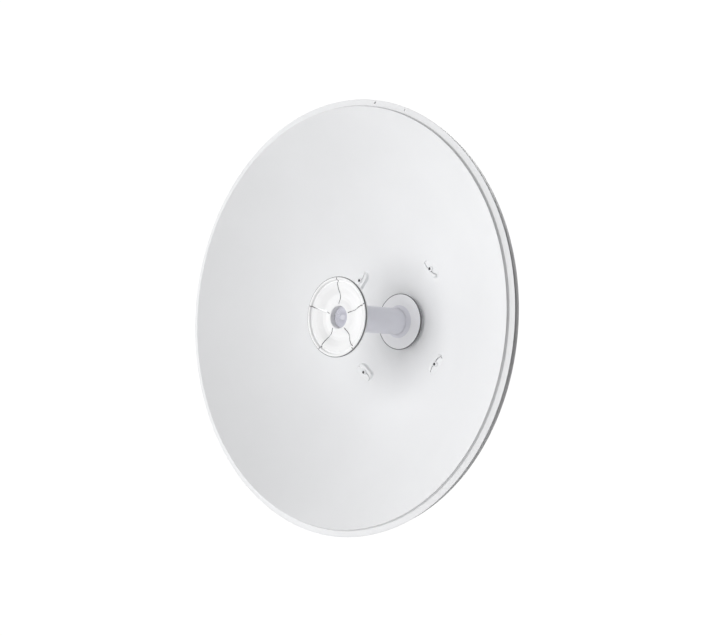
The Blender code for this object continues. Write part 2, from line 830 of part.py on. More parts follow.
def make_clamp():
    """The jaw behind the pole with its bolts, washers and nuts."""
    outline = rectangle(0.0560, 0.0220, corner=0.004, steps=3)
    holes = [circle(M8_HOLE_R, (side * CLAMP_BOLT_X, 0.0), 16) for side in (-1, 1)]
    web_y = JAW_FRONT_Y + STEEL / 2
    jaw = flat("clamp_jaw", [outline] + holes, STEEL, ZINC, (0, web_y, 0), FRONTWARD)
    for level in (-1, 1):
        apex = POLE_R * 2 / math.sqrt(3)
        root = JAW_FRONT_Y + 0.0010
        join(jaw, saddle_plate(f"jaw_saddle_{level}", apex, root, JAW_SADDLE_Z * level))
    moving, fixed = [jaw], []
    washer_y = JAW_FRONT_Y + STEEL + GAP + WASHER / 2
    nut_y = washer_y + WASHER / 2 + GAP + M8_NUT / 2
    for word, side in (("left", -1), ("right", 1)):
        x = side * CLAMP_BOLT_X
        ring = [circle(0.0080, count=20), circle(M8_R + GAP, count=16)]
        washer = flat(f"clamp_washer_{word}", ring, WASHER, ZINC, (x, washer_y, 0), FRONTWARD)
        nut = hex_nut(f"clamp_nut_{word}", M8_R + GAP, M8_HEX_R, M8_NUT, (x, nut_y, 0), FRONTWARD)
        moving += [washer, nut]
        fixed.append(clamp_bolt(word, x))
    return moving, fixed


def clamp_bolt(word, x):
    name = f"clamp_bolt_{word}"
    bolt = rod(name, M8_HEX_R, M8_HEAD, ZINC, (x, CLAMP_HEAD_Y - M8_HEAD / 2, 0), FRONTWARD, 6)
    length = CLAMP_BOLT_END_Y - CLAMP_HEAD_Y + 0.0010
    middle = CLAMP_BOLT_END_Y - length / 2
    join(bolt, rod(name + "_shank", M8_R, length, None, (x, middle, 0), FRONTWARD, 16, CUTTERS))
    return bolt


def main():
    pole_side = body("pole_side", Vector((0, 0, 0)))
    dish_side = body("dish_side", Vector((0, *PIVOT)))
    jaw_slide = body("jaw_slide", Vector((0, JAW_FRONT_Y, 0)))
    feed_slide = body("feed_slide", Vector((0, BASE_Y, 0)))
    button_slide = body("button_slide", Vector((0, BUTTON_Y, -0.0450)))
    cover_hinge = body("cover_hinge", Vector(COVER_AXIS))

    cover, pin = make_cover()
    button, guide, spring = make_button()
    dish_pieces = [make_dish(), make_dish_bracket(), make_earth_screw(), make_housing()]
    dish_pieces += [make_housing_seal(), pin, guide, spring]
    dish_pieces += make_dish_bolts() + make_level() + make_housing_screws()
    jaw_pieces, clamp_bolts = make_clamp()
    feed_pieces = [make_cup(), make_subreflector(), make_cone(), make_tube(), make_feed_base()]
    feed_pieces += [make_feed_seal()] + make_feed_inside()

    carry(pole_side, [make_pole_bracket()] + make_side_fasteners() + clamp_bolts)
    carry(dish_side, dish_pieces)
    carry(jaw_slide, jaw_pieces)
    carry(feed_slide, feed_pieces)
    carry(button_slide, [button])
    carry(cover_hinge, [cover])


main()
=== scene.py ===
"""Looks of the dish radio bridge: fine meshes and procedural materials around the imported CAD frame."""

import math

import bmesh
import bpy
import numpy as np
from mathutils import Matrix, Vector


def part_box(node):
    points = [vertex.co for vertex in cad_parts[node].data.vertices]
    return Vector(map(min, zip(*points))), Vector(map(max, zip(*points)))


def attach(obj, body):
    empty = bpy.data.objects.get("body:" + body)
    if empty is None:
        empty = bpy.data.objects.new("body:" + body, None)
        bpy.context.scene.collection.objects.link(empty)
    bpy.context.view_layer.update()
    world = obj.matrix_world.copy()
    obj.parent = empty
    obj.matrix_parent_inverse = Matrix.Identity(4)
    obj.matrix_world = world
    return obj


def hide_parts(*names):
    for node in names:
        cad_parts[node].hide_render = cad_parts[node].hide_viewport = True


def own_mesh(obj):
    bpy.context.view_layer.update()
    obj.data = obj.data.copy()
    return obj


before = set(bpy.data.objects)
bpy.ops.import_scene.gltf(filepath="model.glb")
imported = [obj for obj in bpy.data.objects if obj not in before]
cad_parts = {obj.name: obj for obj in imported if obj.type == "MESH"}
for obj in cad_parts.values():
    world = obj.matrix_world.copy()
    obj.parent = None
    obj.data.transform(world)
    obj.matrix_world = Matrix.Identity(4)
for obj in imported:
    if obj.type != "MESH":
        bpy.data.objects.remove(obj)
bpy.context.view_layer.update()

# Sizes read from the frame


def low(node):
    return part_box(node)[0]


def high(node):
    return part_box(node)[1]


def middle(node):
    a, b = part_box(node)
    return (a + b) / 2


SHEET = 0.0015
DISH_OUTER_R = high("dish_reflector").x
FLANGE_WIDTH = 0.0085
LIP_SPREAD = 0.0026
LIP_DEPTH = 0.0045
LIP_FOOT_R = 0.3155
SKIRT_DEPTH = 0.0132
SKIRT_LEAN = 0.0036
RIM_Y = low("dish_reflector").y
REFLECTOR_R = DISH_OUTER_R - FLANGE_WIDTH - LIP_SPREAD
DISH_DEPTH = 0.1520
VERTEX_Y = RIM_Y + DISH_DEPTH
DISH_HOLE_R = 0.0360
SEAT_CENTRES = [middle(f"dish_bolt_{number}") for number in range(1, 5)]
SEAT_PLACES = [(centre.x, centre.z) for centre in SEAT_CENTRES]
SEAT_BAND = (0.0900, 0.1160)
SEAT_Y = low("dish_bolt_1").y + 0.0025
BASE_Y = middle("feed_base").y - 0.01008
BASE_R = high("feed_base").x
TUBE_R = high("feed_tube").x
CUP_Y = low("subreflector_cup").y
CUP_R = high("subreflector_cup").x
CUP_SKIN_R = 0.0592
CUP_HOLE_R = 0.0170
TIP_Y = low("feed_tip").y
TUBE_GAP = 0.0003
RIBS = 5
SLOT_DEPTH = 0.0024
M8 = {"flat_r": 0.0065, "bore_r": 0.00425, "height": 0.0065}
M6 = {"flat_r": 0.0052, "bore_r": 0.0032, "height": 0.0060}
M8_HEAD = 0.0053
M8_SHANK_R = 0.0040
M8_PITCH = 0.00125
CLAMP_BOLT_PLAIN = 0.0450
RING_STEPS = 48
CAMERA_DISTANCE = 2.30
CAMERA_AZIMUTH = math.radians(42.90)
CAMERA_ELEVATION = math.radians(-3.12)
CAMERA_ROLL = math.radians(0.96)
CAMERA_ASIDE = 0.0258
CAMERA_RAISE = -0.0015
SENSOR_WIDTH = 36.0
LENS = 78.4952
BRIGHT_SIDE = (-0.95, 0.31, 0.0)


# Materials


class Nodes:
    """A material under construction: short calls that add and link shader nodes."""

    def __init__(self, name, colour, roughness, metallic=0.0, **sockets):
        self.made = bpy.data.materials.new(name)
        self.made.use_nodes = True
        self.tree = self.made.node_tree
        self.shader = self.tree.nodes["Principled BSDF"]
        self.set("Base Color", (*colour, 1.0))
        self.set("Roughness", roughness)
        self.set("Metallic", metallic)
        for socket, value in sockets.items():
            self.set(socket.replace("_", " "), value)
        self.place = self.add("ShaderNodeTexCoord").outputs["Object"]

    def set(self, socket, value):
        self.shader.inputs[socket].default_value = value

    def add(self, kind, **values):
        node = self.tree.nodes.new(kind)
        for key, value in values.items():
            if key in node.inputs:
                node.inputs[key].default_value = value
            else:
                setattr(node, key, value)
        return node

    def link(self, output, target):
        self.tree.links.new(output, target)

    def noise(self, scale, detail=3.0, stretch=(1, 1, 1)):
        node = self.add("ShaderNodeTexNoise", Scale=scale, Detail=detail)
        self.link(self.stretched(stretch), node.inputs["Vector"])
        return node.outputs["Fac"]

    def cells(self, scale):
        node = self.add("ShaderNodeTexVoronoi", Scale=scale)
        self.link(self.place, node.inputs["Vector"])
        return node

    def stretched(self, scale):
        if scale == (1, 1, 1):
            return self.place
        node = self.add("ShaderNodeMapping", Scale=scale)
        self.link(self.place, node.inputs["Vector"])
        return node.outputs["Vector"]

    def ramp(self, factor, stops):
        node = self.add("ShaderNodeValToRGB")
        elements = node.color_ramp.elements
        while len(elements) < len(stops):
            elements.new(0.5)
        for element, (position, colour) in zip(elements, stops):
            element.position = position
            element.color = (*colour, 1.0)
        self.link(factor, node.inputs["Fac"])
        return node.outputs["Color"]

    def range(self, factor, start, end):
        node = self.add("ShaderNodeMapRange")
        node.inputs["To Min"].default_value = start
        node.inputs["To Max"].default_value = end
        self.link(factor, node.inputs["Value"])
        return node.outputs["Result"]

    def sum(self, first, second, share=1.0):
        node = self.add("ShaderNodeMath", operation="MULTIPLY_ADD")
        self.link(second, node.inputs[0])
        node.inputs[1].default_value = share
        self.link(first, node.inputs[2])
        return node.outputs["Value"]

    def bump(self, height, distance, strength=1.0):
        node = self.add("ShaderNodeBump", Strength=strength, Distance=distance)
        self.link(height, node.inputs["Height"])
        self.link(node.outputs["Normal"], self.shader.inputs["Normal"])

    def colour(self, output):
        self.link(output, self.shader.inputs["Base Color"])

    def roughness(self, output):
        self.link(output, self.shader.inputs["Roughness"])


def shades(colour, spread):
    """Two colours a little darker and lighter than this one."""
    return [tuple(min(1.0, c * (1 + way * spread)) for c in colour) for way in (-1, 1)]


def powder_coat():
    """White powder coat: a fine orange peel and faint mottling."""
    colour = (0.86, 0.865, 0.875)
    m = Nodes("powder_coat_white", colour, 0.45, Specular_IOR_Level=0.35)
    dark, light = shades(colour, 0.012)
    m.colour(m.ramp(m.noise(9.0, 4.0), [(0.3, dark), (0.7, light)]))
    m.roughness(m.range(m.noise(60.0, 2.0), 0.40, 0.52))
    m.bump(m.sum(m.noise(700.0, 2.0), m.noise(2600.0, 1.0), 0.35), 0.00003)
    return m.made


def moulded(name, colour, roughness, grain=1800.0, depth=0.00002):
    """Moulded plastic: spark-eroded grain and slight unevenness of tone and gloss."""
    m = Nodes(name, colour, roughness)
    dark, light = shades(colour, 0.015)
    m.colour(m.ramp(m.noise(30.0, 3.0), [(0.3, dark), (0.7, light)]))
    m.roughness(m.range(m.noise(140.0, 2.0), roughness - 0.05, roughness + 0.06))
    m.bump(m.noise(grain, 2.0), depth)
    return m.made


def galvanised():
    """Zinc-coated sheet: spangle cells that differ in tone and gloss, with a soft cloudy bloom."""
    m = Nodes("galvanised_steel", (0.62, 0.63, 0.65), 0.42, 0.85)
    spangle = m.cells(190.0)
    tone = m.sum(spangle.outputs["Color"], m.noise(18.0, 4.0), 0.8)
    greys = [(0.2, (0.50, 0.51, 0.53)), (0.9, (0.66, 0.67, 0.69)), (1.0, (0.72, 0.73, 0.75))]
    m.colour(m.ramp(tone, greys))
    m.roughness(m.range(spangle.outputs["Distance"], 0.34, 0.52))
    m.bump(m.sum(spangle.outputs["Distance"], m.noise(900.0, 2.0), 0.3), 0.00003)
    return m.made


def stainless():
    """Stainless fasteners: fine drawn lines and handling marks."""
    m = Nodes("stainless_steel", (0.66, 0.66, 0.67), 0.30, 1.0)
    lines = m.noise(900.0, 2.0, (1.0, 0.06, 1.0))
    m.colour(m.ramp(m.noise(240.0, 4.0), [(0.3, (0.57, 0.57, 0.58)), (0.7, (0.70, 0.70, 0.71))]))
    m.roughness(m.range(lines, 0.22, 0.42))
    m.bump(lines, 0.00001)
    return m.made


def aluminium():
    """Pressed aluminium with fine rolling lines."""
    m = Nodes("pressed_aluminium", (0.75, 0.76, 0.78), 0.35, 1.0)
    lines = m.noise(600.0, 3.0, (0.05, 1.0, 1.0))
    m.colour(m.ramp(lines, [(0.3, (0.68, 0.69, 0.71)), (0.7, (0.79, 0.80, 0.82))]))
    m.roughness(m.range(lines, 0.28, 0.44))
    m.bump(lines, 0.00001)
    return m.made


def rubber():
    """Black seal rubber with a matt, slightly mottled skin."""
    m = Nodes("seal_rubber", (0.045, 0.045, 0.048), 0.80)
    m.colour(m.ramp(m.noise(300.0, 4.0), [(0.3, (0.035, 0.035, 0.037)), (0.7, (0.06, 0.06, 0.063))]))
    m.bump(m.noise(1500.0, 2.0), 0.00003)
    return m.made


def laminate():
    """Circuit board: solder mask over copper tracks."""
    m = Nodes("board_laminate", (0.03, 0.22, 0.10), 0.40)
    tracks = m.add("ShaderNodeTexBrick", Scale=260.0)
    m.link(m.place, tracks.inputs["Vector"])
    tracks.inputs["Color1"].default_value = (0.025, 0.19, 0.085, 1.0)
    tracks.inputs["Color2"].default_value = (0.035, 0.26, 0.12, 1.0)
    tracks.inputs["Mortar"].default_value = (0.09, 0.38, 0.16, 1.0)
    m.colour(tracks.outputs["Color"])
    m.roughness(m.range(m.noise(500.0, 2.0), 0.30, 0.50))
    m.bump(tracks.outputs["Fac"], 0.00002)
    return m.made


def paint_socket_shade():
    """Painted shade: a near-black, slightly metallic finish for the sockets of the small dish bolts,
    standing in for the shade in them.
    """
    m = Nodes("painted_socket_shadow", (0.09, 0.09, 0.095), 0.45, 0.7)
    m.colour(m.ramp(m.noise(400.0, 3.0), [(0.3, (0.06, 0.06, 0.065)), (0.7, (0.13, 0.13, 0.135))]))
    m.roughness(m.range(m.noise(900.0, 2.0), 0.35, 0.55))
    m.bump(m.noise(1500.0, 2.0), 0.00001)
    return m.made


def vial_liquid():
    """The clear green liquid of the bubble level."""
    m = Nodes("level_vial", (0.50, 0.85, 0.15), 0.06, Transmission_Weight=0.55)
    m.colour(m.ramp(m.noise(90.0, 2.0), [(0.3, (0.45, 0.80, 0.12)), (0.7, (0.55, 0.88, 0.18))]))
    m.roughness(m.range(m.noise(200.0, 1.0), 0.04, 0.10))
    return m.made


COAT = powder_coat()
CUP_WHITE = moulded("cup_plastic", (0.93, 0.93, 0.935), 0.38)
# A lilac-grey tint for the tube, kept darker than the base partly as painted shade; on the base's flared
# neck the same material is painted shade.
TUBE_TINT_AND_SHADE = moulded("tube_tint_and_painted_shade", (0.78, 0.78, 0.84), 0.36)
BASE_WHITE = moulded("base_plastic", (0.93, 0.93, 0.95), 0.38)
TIP_WHITE = moulded("tip_plastic", (0.66, 0.66, 0.72), 0.42)
# Painted shadow: a dark grey for the cup's slot floors and the thin rings round the cup and the base,
# standing in for the shade there.
SHADOW_GREY = moulded("painted_shadow_grey", (0.16, 0.16, 0.17), 0.55)
HOUSING_WHITE = moulded("housing_plastic", (0.84, 0.84, 0.86), 0.42)
GREY = moulded("grey_plastic", (0.30, 0.31, 0.33), 0.55, 1200.0, 0.00004)
ZINC = galvanised()
STAINLESS = stainless()
# Painted shade for the sockets of the dish bolts.
SOCKET_SHADE = paint_socket_shade()
ALUMINIUM = aluminium()
RUBBER = rubber()
BOARD = laminate()
VIAL = vial_liquid()


# Mesh helpers


def finish_object(name, mesh, material, smooth_angle=32):
    obj = bpy.data.objects.new(name, mesh)
    bpy.context.scene.collection.objects.link(obj)
    mesh.materials.append(material)
    mesh.shade_smooth()
    mesh.set_sharp_from_angle(angle=math.radians(smooth_angle))
    return obj


def grid_object(name, points, material, wrap_rows=False, cap_ends=False, smooth_angle=32):
    """A skin over points[row][column], closed round each row; wrap_rows joins the last row to the first."""
    rows, columns = points.shape[:2]
    shape = bmesh.new()
    verts = [[shape.verts.new(points[i, j]) for j in range(columns)] for i in range(rows)]
    last = rows if wrap_rows else rows - 1
    for i in range(last):
        below = verts[(i + 1) % rows]
        for j in range(columns):
            k = (j + 1) % columns
            shape.faces.new((verts[i][j], verts[i][k], below[k], below[j]))
    if cap_ends:
        shape.faces.new(verts[0])
        shape.faces.new(list(reversed(verts[-1])))
    bmesh.ops.remove_doubles(shape, verts=shape.verts, dist=0.000002)
    bmesh.ops.recalc_face_normals(shape, faces=shape.faces)
    mesh = bpy.data.meshes.new(name)
    shape.to_mesh(mesh)
    shape.free()
    return finish_object(name, mesh, material, smooth_angle)


def ring_points(profile, columns):
    """Points of a profile of (radius, y) turned about the Y axis."""
    turns = np.linspace(0.0, 2 * math.pi, columns, endpoint=False)
    profile = np.asarray(profile, float)
    radius, along = profile[:, :1], profile[:, 1:2]
    points = np.empty((len(profile), columns, 3))
    points[:, :, 0] = radius * np.sin(turns)
    points[:, :, 1] = along
    points[:, :, 2] = radius * np.cos(turns)
    return points


def rounded(profile, radius, steps=4, closed=True):
    """A profile with each corner rounded, by as much as its sides allow."""
    made = []
    count = len(profile)
    for i, corner in enumerate(profile):
        if not closed and i in (0, count - 1):
            made.append(tuple(corner))
            continue
        here = np.array(corner, float)
        before = np.array(profile[i - 1], float) - here
        after = np.array(profile[(i + 1) % count], float) - here
        reach = min(radius, 0.45 * np.linalg.norm(before), 0.45 * np.linalg.norm(after))
        start = here + before / np.linalg.norm(before) * reach
        end = here + after / np.linalg.norm(after) * reach
        for step in range(steps + 1):
            t = step / steps
            made.append(tuple((1 - t) ** 2 * start + 2 * t * (1 - t) * here + t * t * end))
    return made


def turned_piece(name, profile, material, nodes, columns=160):
    """A piece of the feed turned from a closed profile, in place of CAD nodes if any are named."""
    obj = grid_object(name, ring_points(profile, columns), material, wrap_rows=True)
    return placed(obj, "feed_slide", nodes)


def placed(obj, body, nodes):
    """Rides a piece on its body, in place of CAD nodes if any are named."""
    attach(obj, body)
    if nodes:
        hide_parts(*nodes)
    return obj


def flat_outline(obj_name, loops, thickness, material, to_world):
    """An extruded plate from outlines, moved to the world by a matrix."""
    curve = bpy.data.curves.new(obj_name, "CURVE")
    curve.dimensions = "2D"
    curve.fill_mode = "BOTH"
    curve.extrude = thickness / 2
    for loop in loops:
        spline = curve.splines.new("POLY")
        spline.points.add(len(loop) - 1)
        for point, (x, y) in zip(spline.points, loop):
            point.co = (x, y, 0.0, 1.0)
        spline.use_cyclic_u = True
    source = bpy.data.objects.new(obj_name + "_outline", curve)
    bpy.context.scene.collection.objects.link(source)
    graph = bpy.context.evaluated_depsgraph_get()
    mesh = bpy.data.meshes.new_from_object(source.evaluated_get(graph))
    bpy.data.objects.remove(source, do_unlink=True)
    shape = bmesh.new()
    shape.from_mesh(mesh)
    bmesh.ops.remove_doubles(shape, verts=shape.verts, dist=0.00001)
    bmesh.ops.recalc_face_normals(shape, faces=shape.faces)
    shape.to_mesh(mesh)
    shape.free()
    mesh.transform(to_world)
    return finish_object(obj_name, mesh, material)


# Reflector


def parabola(radius):
    """The reflector's front surface: its y at this radius."""
    return VERTEX_Y - DISH_DEPTH * (radius / REFLECTOR_R) ** 2


def smooth_step(value):
    """Nought below nought, one above one, and a smooth ramp between."""
    value = np.clip(value, 0.0, 1.0)
    return value * value * (3 - 2 * value)


def seat_weight(x, z, centre_x, centre_z, half_length=0.0165, half_width=0.0085, soft=0.0012):
    """One on a pressed seat, nought off it, with a short ramp between."""
    reach = math.hypot(centre_x, centre_z)
    radial = (centre_x / reach, centre_z / reach)
    dx, dz = x - centre_x, z - centre_z
    out = dx * radial[0] + dz * radial[1]
    along = -dx * radial[1] + dz * radial[0]
    side = np.maximum(np.abs(along) - (half_length - half_width), 0.0)
    return smooth_step((half_width - np.hypot(side, out)) / soft + 0.5)


def reflector_points(columns=540):
    """The front surface from the middle hole out to the skirt, with the four seats pressed forward."""
    inner = np.linspace(DISH_HOLE_R, SEAT_BAND[0], 18, endpoint=False)
    seats = np.linspace(*SEAT_BAND, 40, endpoint=False)
    outer = np.linspace(SEAT_BAND[1], REFLECTOR_R, 44)
    radii = np.concatenate([inner, seats, outer])
    turns = np.linspace(0.0, 2 * math.pi, columns, endpoint=False)
    grid_r, grid_t = np.meshgrid(radii, turns, indexing="ij")
    x, z = grid_r * np.sin(grid_t), grid_r * np.cos(grid_t)
    y = parabola(grid_r)
    for place in SEAT_PLACES:
        y = y + seat_weight(x, z, *place) * np.minimum(SEAT_Y - y, 0.0)
    front = np.stack([x, y, z], axis=-1)
    flange_y = RIM_Y + LIP_DEPTH
    edge = [
        (REFLECTOR_R, RIM_Y),
        (LIP_FOOT_R, flange_y),
        (DISH_OUTER_R, flange_y),
        (DISH_OUTER_R - SKIRT_LEAN, flange_y + SKIRT_DEPTH),
    ]
    edge = rounded(edge, 0.0009, closed=False)[1:]
    return np.concatenate([front, ring_points(edge, columns)])


def make_reflector():
    dish = grid_object("reflector", reflector_points(), COAT, smooth_angle=38)
    shell = dish.modifiers.new("sheet", "SOLIDIFY")
    shell.thickness = SHEET
    shell.offset = -1.0
    shell.use_even_offset = False
    apply_modifiers(dish)
    slits = [seat_slit(number, *place) for number, place in enumerate(SEAT_PLACES, 1)]
    subtract(dish, flange_drills() + slits)
    placed(dish, "dish_side", ["dish_reflector"])


def apply_modifiers(obj):
    """Puts what the modifiers make into the mesh itself."""
    graph = bpy.context.evaluated_depsgraph_get()
    mesh = bpy.data.meshes.new_from_object(obj.evaluated_get(graph))
    obj.modifiers.clear()
    obj.data = mesh


def flange_drills():
    """Two small holes through the flange near the top."""
    radius = DISH_OUTER_R - FLANGE_WIDTH / 2
    turn = Matrix.Rotation(math.pi / 2, 4, "X")
    drills = []
    for angle in (math.radians(11.5), math.radians(22.5)):
        place = (radius * math.sin(angle), RIM_Y + LIP_DEPTH, radius * math.cos(angle))
        drills.append(cylinder_tool("flange_drill", 0.0019, 0.0080, place, turn, 20))
    return drills


def seat_slit(number, x, z):
    """A narrow curved slit through the seat, along it, with a hook at each end."""
    reach = math.hypot(x, z)
    out = Vector((x / reach, 0, z / reach))
    along = Vector((out.z, 0, -out.x))
    path = [(-0.0150, 0.0042), (-0.0158, 0.0002), (-0.0080, -0.0022), (0.0, -0.0020)]
    path += [(0.0080, -0.0018), (0.0152, 0.0006), (0.0158, -0.0026)]
    half = 0.00065
    ends_y = (SEAT_Y - 0.0040, SEAT_Y + 0.0120)
    shape = bmesh.new()
    rows = []
    for i, (a, o) in enumerate(path):
        before, after = path[max(i - 1, 0)], path[min(i + 1, len(path) - 1)]
        way = Vector((after[0] - before[0], after[1] - before[1])).normalized()
        side = (-way.y * half, way.x * half)
        row = []
        for sign in (-1, 1):
            spot = along * (a + sign * side[0]) + out * (o + sign * side[1]) + Vector((x, 0, z))
            row += [shape.verts.new(spot + Vector((0, y, 0))) for y in ends_y]
        rows.append((row[0], row[1], row[3], row[2]))
    for first, second in zip(rows, rows[1:]):
        for k in range(4):
            shape.faces.new((first[k], first[(k + 1) % 4], second[(k + 1) % 4], second[k]))
    shape.faces.new(rows[0])
    shape.faces.new(list(reversed(rows[-1])))
    bmesh.ops.recalc_face_normals(shape, faces=shape.faces)
    mesh = bpy.data.meshes.new(f"seat_slit_{number}")
    shape.to_mesh(mesh)
    shape.free()
    obj = bpy.data.objects.new(f"seat_slit_{number}", mesh)
    bpy.context.scene.collection.objects.link(obj)
    return obj


# Feed


def bowl_depth():
    """(radius, depth behind the lip) of the cup's front, from the hole to the lip."""
    return [
        (CUP_HOLE_R, 0.0060),
        (0.0185, 0.0055),
        (0.0222, 0.0064),
        (0.0262, 0.0084),
        (0.0305, 0.0093),
        (0.0350, 0.0085),
        (0.0395, 0.0059),
        (0.0435, 0.0038),
        (0.0480, 0.0026),
        (0.0512, 0.0022),
        (0.0532, 0.0036),
        (0.0545, 0.0037),
        (0.0556, 0.0004),
        (0.0562, 0.0),
        (0.0587, 0.0),
        (CUP_SKIN_R, 0.0005),
    ]


def rib_columns(radius, between=26):
    """Angles round the cup, and for each of them 1 on a slot's floor and 0 off it."""
    half, bank = 0.00062, 0.00016
    offsets = np.array([-half - bank * 2, -half, -half + bank, half - bank, half, half + bank * 2])
    deep = np.array([0.0, 0.0, 1.0, 1.0, 0.0, 0.0])
    turns, slot = [], []
    for i in range(RIBS):
        centre = 2 * math.pi * i / RIBS
        turns += list(centre + offsets / radius)
        slot += list(deep)
        start = centre + offsets[-1] / radius
        end = centre + 2 * math.pi / RIBS + offsets[0] / radius
        turns += list(start + (end - start) * np.arange(1, between + 1) / (between + 1))
        slot += [0.0] * between
    return np.array(turns), np.array(slot)


def cup_points():
    """The cup's skin from the back of its hole, over its front with the slots, and round its back."""
    rows = []
    curve = bowl_depth()
    radii = np.array([p[0] for p in curve])
    depths = np.array([p[1] for p in curve])
    fine = np.unique(np.concatenate([radii, np.linspace(CUP_HOLE_R, 0.0545, 44)]))
    for radius in fine:
        turns, slot = rib_columns(radius)
        depth = np.interp(radius, radii, depths)
        run = smooth_step((radius - 0.0196) / 0.0010) * smooth_step((CUP_SKIN_R - radius) / 0.0003)
        y = CUP_Y + depth + slot * SLOT_DEPTH * run
        rows.append(np.stack([radius * np.sin(turns), y, radius * np.cos(turns)], axis=-1))
    front = np.array(rows)
    hole = [(CUP_HOLE_R, CUP_Y + 0.0157), (CUP_HOLE_R, CUP_Y + 0.0120), (CUP_HOLE_R, CUP_Y + 0.0066)]
    back = [(CUP_SKIN_R, CUP_Y + 0.0036), (0.0540, CUP_Y + 0.0058), (0.0450, CUP_Y + 0.0068)]
    back += [(0.0380, CUP_Y + 0.0090), (0.0300, CUP_Y + 0.0110), (0.0200, CUP_Y + 0.0098)]
    back += [(0.0188, CUP_Y + 0.0110), (0.0188, CUP_Y + 0.0157)]
    return np.concatenate([ring_like(hole, front), front, ring_like(back, front)])


def ring_like(profile, front):
    """Rings with the same columns as the cup's front, turned to the nearest row's angles."""
    turns = np.arctan2(front[-1, :, 0], front[-1, :, 2])
    return np.array([[(r * math.sin(t), y, r * math.cos(t)) for t in turns] for r, y in profile])


def make_cup():
    """The sub-reflector cup with its slot floors painted dark as shade, and a thin ring of painted shadow
    round its edge.
    """
    cup = grid_object("feed_cup", cup_points(), CUP_WHITE, wrap_rows=True, smooth_angle=30)
    # Painted shade: faces on the slot floors take the dark grey, standing in for the shade in the narrow
    # slots.
    cup.data.materials.append(SHADOW_GREY)
    for face in cup.data.polygons:
        if in_slot(face.center) and face.center.y < CUP_Y + 0.0125:
            face.material_index = 1
    placed(cup, "feed_slide", ["subreflector_cup"])
    # Painted shadow: a thin dark ring round the cup's edge stands in for the shaded side wall and gap
    # there.
    edge = [(0.0590, CUP_Y + 0.0008), (CUP_R, CUP_Y + 0.0010)]
    edge += [(CUP_R, CUP_Y + 0.0024), (0.0590, CUP_Y + 0.0030)]
    turned_piece("cup_edge_shadow", rounded(edge, 0.0003, 2), SHADOW_GREY, [], 240)


def in_slot(point):
    """Whether a point of the cup lies in one of its narrow radial slots: the mask for the painted shade in
    them.
    """
    reach = math.hypot(point.x, point.z)
    if not 0.0200 < reach < 0.0589:
        return False
    step = 2 * math.pi / RIBS
    off = (math.atan2(point.x, point.z) + step / 2) % step - step / 2
    return abs(off) * reach < 0.00060 and point.y > surface_y(reach) + 0.0004


def surface_y(reach):
    """The y of the cup's front, off its slots, at this radius."""
    curve = bowl_depth()
    return CUP_Y + float(np.interp(reach, [p[0] for p in curve], [p[1] for p in curve]))


def make_cone():
    """The cone behind the cup: its thin edge stands round the cup, and its collar holds the tube."""
    collar = TUBE_R + TUBE_GAP
    back = high("feed_cone").y
    profile = [
        (collar, CUP_Y + 0.0125),
        (0.0260, CUP_Y + 0.0118),
        (0.0300, CUP_Y + 0.0124),
        (0.0450, CUP_Y + 0.0084),
        (0.0540, CUP_Y + 0.0070),
        (CUP_SKIN_R, CUP_Y + 0.0052),
        (CUP_SKIN_R, CUP_Y + 0.0034),
        (CUP_R, CUP_Y + 0.0030),
        (CUP_R, CUP_Y + 0.0042),
        (0.0560, CUP_Y + 0.0078),
        (0.0450, CUP_Y + 0.0104),
        (0.0300, CUP_Y + 0.0150),
        (0.0250, CUP_Y + 0.0172),
        (0.0236, back - 0.0004),
        (0.0232, back),
        (collar, back),
    ]
    turned_piece("cup_cone", rounded(profile, 0.0006, 3), CUP_WHITE, ["feed_cone"])


def make_tube():
    """The feed tube between the base and the cone's collar, in a lilac-grey tint darkened partly as painted
    shade.
    """
    front, back = low("feed_tube").y, high("feed_tube").y
    inner = TUBE_R - 0.0020
    profile = [(inner, front), (TUBE_R, front), (TUBE_R, back), (inner, back)]
    turned_piece("feed_tube_skin", rounded(profile, 0.0005, 3), TUBE_TINT_AND_SHADE, ["feed_tube"])


def make_base():
    """The round base, flared up to the tube, and the plug behind it; painted shade on the flare's neck and
    a thin ring of painted shadow round its edge.
    """
    bore = TUBE_R + TUBE_GAP
    rise, run, steps = 0.0078, 0.0105, 12
    flare = []
    for i in range(steps + 1):
        angle = math.pi / 2 * i / steps
        radius = bore + 0.0006 + run * (1 - math.cos(angle))
        flare.append((radius, BASE_Y - 0.0003 - rise * (1 - math.sin(angle))))
    back = high("feed_base").y
    plug_r, groove_r = 0.0335, 0.0314
    tail = [
        (BASE_R - 0.0030, BASE_Y - 0.0001),
        (BASE_R - 0.0006, BASE_Y + 0.0001),
        (BASE_R, BASE_Y + 0.0007),
        (BASE_R, BASE_Y + 0.0019),
        (plug_r, BASE_Y + 0.0019),
        (plug_r, BASE_Y + 0.0066),
        (groove_r, BASE_Y + 0.0066),
        (groove_r, BASE_Y + 0.0094),
        (plug_r, BASE_Y + 0.0094),
        (plug_r, back),
        (bore, back),
    ]
    profile = [(bore, flare[0][1])] + flare + tail
    base = turned_piece("feed_base_skin", profile, BASE_WHITE, ["feed_base"], 192)
    # Painted shade: the steep neck of the flare takes the darker tube material, standing in for the shade
    # in the crease where the tube meets the base.
    base.data.materials.append(TUBE_TINT_AND_SHADE)
    neck_shade_r = bore + run * 0.45
    for face in base.data.polygons:
        reach = math.hypot(face.center.x, face.center.z)
        if face.center.y < BASE_Y - 0.0003 and reach < neck_shade_r:
            face.material_index = 1
    # Painted shadow: a thin dark ring round the base's edge stands in for the shade in the gap to the dish.
    edge = [(BASE_R - 0.0008, BASE_Y - 0.0002), (BASE_R + 0.0004, BASE_Y - 0.0001)]
    edge += [(BASE_R + 0.0004, BASE_Y + 0.0018), (BASE_R - 0.0008, BASE_Y + 0.0018)]
    turned_piece("base_edge_shadow", rounded(edge, 0.0003, 2), SHADOW_GREY, [], 240)


